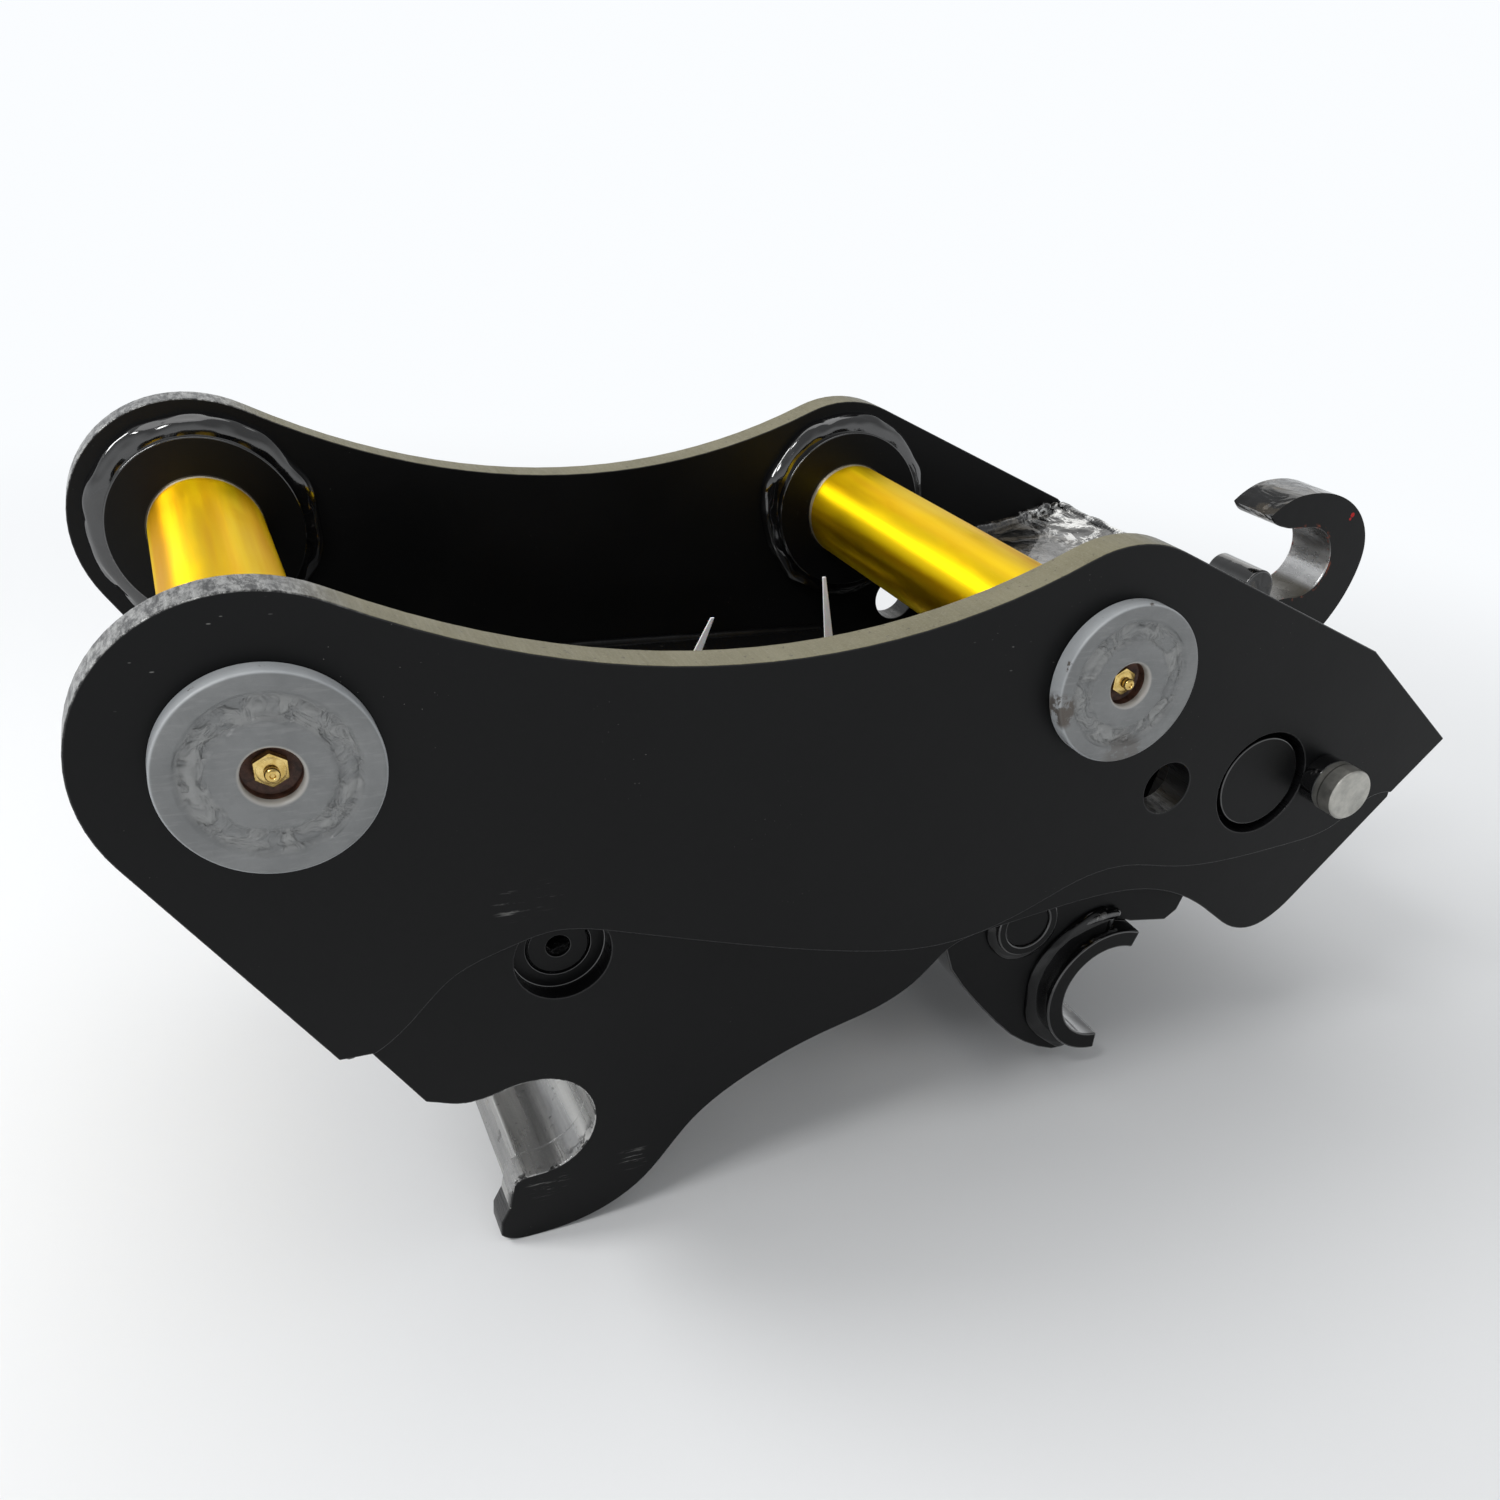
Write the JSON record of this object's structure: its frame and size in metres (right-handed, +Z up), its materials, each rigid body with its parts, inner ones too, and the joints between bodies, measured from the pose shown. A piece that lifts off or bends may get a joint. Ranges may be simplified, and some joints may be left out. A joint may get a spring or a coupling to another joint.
{
  "type": "quick coupler",
  "caption": "Hydraulic pin-grab quick coupler for an excavator: ear plates with stick and link pins, a fixed front jaw, a cylinder-driven rear hook and a lifting hook.",
  "frame": {"origin": "on the stick pin's axis, half way between the two ear plates", "axes": "+X from the stick pin to the link pin, +Y across the coupler along the pins, +Z up"},
  "size_m": [1.0334, 0.509, 0.483],
  "materials": {
    "black_paint": "satin black paint over flame-cut plate",
    "yellow_chromate": "glossy golden chromated steel",
    "grey_primer": "grey primer over turned steel",
    "brass": "plain brass",
    "zinc_plate": "dull zinc plating",
    "bronze": "bearing bronze",
    "machined_steel": "turned steel",
    "hard_chrome": "polished hard chrome",
    "seal_rubber": "black polyurethane seal",
    "white_nylon": "natural white nylon",
    "yellow_plastic": "moulded dust cap"
  },
  "bodies": {
    "frame": {"anchor_pin_bushes": "black_paint", "anchor_pin_spacers": "black_paint", "cylinder_anchor_pin": "black_paint", "deck_plate": "black_paint", "front_cross_plate": "black_paint", "front_jaw_saddle": "black_paint", "hook_pivot_shaft": "black_paint", "left_ear_plate": "black_paint", "left_hook_plate": "black_paint", "left_link_boss": "black_paint", "left_stick_boss": "black_paint", "lifting_hook": "black_paint", "link_grease_nipple": "brass", "link_pin": "yellow_chromate", "link_pin_cap": "grey_primer", "link_pin_collar": "black_paint", "pivot_spacer_rings": "black_paint", "rear_cross_plate": "black_paint", "rear_end_plate": "black_paint", "retaining_bolts": "zinc_plate", "retaining_nuts": "zinc_plate", "right_ear_plate": "black_paint", "right_hook_plate": "black_paint", "right_link_boss": "black_paint", "right_stick_boss": "black_paint", "safety_bar_sleeve": "black_paint", "sling_tip_block": "black_paint", "stick_grease_nipple": "brass", "stick_pin": "yellow_chromate", "stick_pin_cap": "grey_primer", "stick_pin_collar": "black_paint"},
    "moving_hook": {"left_hook_arm": "black_paint", "right_hook_arm": "black_paint", "pivot_bushes": "bronze", "rear_jaw_saddle": "black_paint", "hook_back_web": "black_paint", "hook_main_web": "black_paint", "hook_pivot_tube": "black_paint", "rod_pin": "black_paint", "rod_pin_keepers": "black_paint", "rod_pin_spacers": "black_paint"},
    "cylinder_barrel": {"cylinder_barrel": "black_paint", "anchor_eye_bush": "bronze", "cylinder_gland": "black_paint", "rod_wiper": "seal_rubber", "check_valve_block": "black_paint", "port_adapters": "zinc_plate", "port_caps": "yellow_plastic", "feed_tube": "zinc_plate", "front_cable_tie": "white_nylon", "rear_cable_tie": "white_nylon"},
    "piston_rod": {"piston": "machined_steel", "piston_seal": "seal_rubber", "piston_rod": "hard_chrome", "rod_eye": "black_paint"},
    "safety_bar": {"safety_bar": "zinc_plate"}
  },
  "joints": [
    {"name": "hook_pivot", "type": "hinge", "parent": "frame", "child": "moving_hook", "pos_m": [0.682, 0, -0.098], "axis": [0, -1, 0], "range_deg": [-14, 4]},
    {"name": "cylinder_tilt", "type": "hinge", "parent": "frame", "child": "cylinder_barrel", "pos_m": [0.1533, 0, -0.162], "axis": [0, -1, 0], "range_deg": [-1.36, 4.75]},
    {"name": "rod_stroke", "type": "slide", "parent": "cylinder_barrel", "child": "piston_rod", "axis": [0.9818, 0, -0.1899], "range_m": [-0.0362, 0.0104]},
    {"name": "bar_slide", "type": "slide", "parent": "frame", "child": "safety_bar", "axis": [0, -1, 0], "range_m": [0, 0.12]}
  ],
  "couplings": [
    {"joint": "cylinder_tilt", "follows": "hook_pivot", "ratio": -0.339},
    {"joint": "rod_stroke", "follows": "hook_pivot", "m_per_rad": 0.148}
  ]
}
